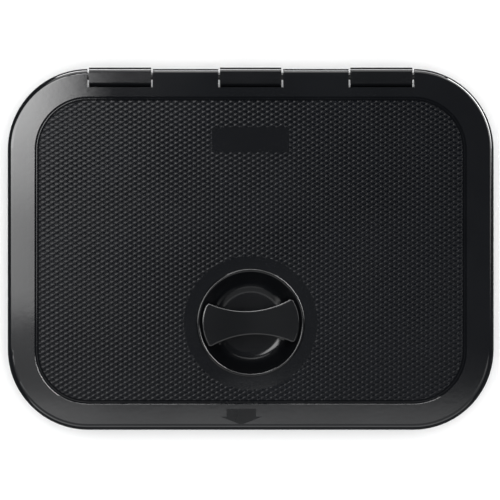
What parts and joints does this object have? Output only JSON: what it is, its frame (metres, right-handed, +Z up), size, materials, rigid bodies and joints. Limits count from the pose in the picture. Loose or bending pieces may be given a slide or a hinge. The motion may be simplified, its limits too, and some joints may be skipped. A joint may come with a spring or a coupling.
{
  "type": "deck hatch",
  "caption": "Low rectangular plastic deck hatch: round-cornered frame with a collar, full-cover hinged lid with diamond tread, and a recessed turn latch.",
  "frame": {"origin": "middle of the frame flange's outline, on its underside, which is the plane of the deck and the middle of the deck screw pattern", "axes": "+Z up out of the deck, +Y to the hinge side, +X to the right when the hinge is at the far side"},
  "size_m": [0.375, 0.2793, 0.0387],
  "materials": {
    "frame_plastic": "glossy black moulded plastic, UV stabilised",
    "lid_plastic": "glossy black moulded plastic with a raised diamond tread",
    "latch_plastic": "glossy black moulded plastic",
    "nut_plastic": "satin black moulded plastic",
    "seal_rubber": "matt black closed-cell rubber",
    "oring_rubber": "smooth black nitrile rubber",
    "hinge_pin_plastic": "black acetal rod",
    "pin_steel": "drawn stainless rod",
    "keeper_steel": "bent stainless sheet, brushed",
    "screw_steel": "stainless, passivated",
    "washer_nylon": "natural nylon"
  },
  "bodies": {
    "frame": {"deck_frame": "frame_plastic", "latch_keeper": "keeper_steel", "keeper_screws": "screw_steel"},
    "lid": {"lid": "lid_plastic", "lid_gasket": "seal_rubber", "hinge_pin_left": "hinge_pin_plastic", "hinge_pin_right": "hinge_pin_plastic", "hinge_pin_plugs": "lid_plastic", "latch_housing": "latch_plastic", "housing_seal": "seal_rubber", "housing_nut": "nut_plastic", "stop_pin": "pin_steel"},
    "latch": {"latch_grip": "latch_plastic", "spindle_oring": "oring_rubber", "spring_washer": "screw_steel", "thrust_washer": "washer_nylon", "locking_tongue": "nut_plastic", "clamp_washer": "screw_steel", "latch_screw": "screw_steel"}
  },
  "joints": [
    {"name": "lid_hinge", "type": "hinge", "parent": "frame", "child": "lid", "pos_m": [0, 0.1336, 0.008], "axis": [-1, 0, 0], "range_deg": [0, 180]},
    {"name": "latch_turn", "type": "hinge", "parent": "lid", "child": "latch", "pos_m": [0, -0.0565, 0], "axis": [0, 0, -1], "range_deg": [0, 93]}
  ]
}
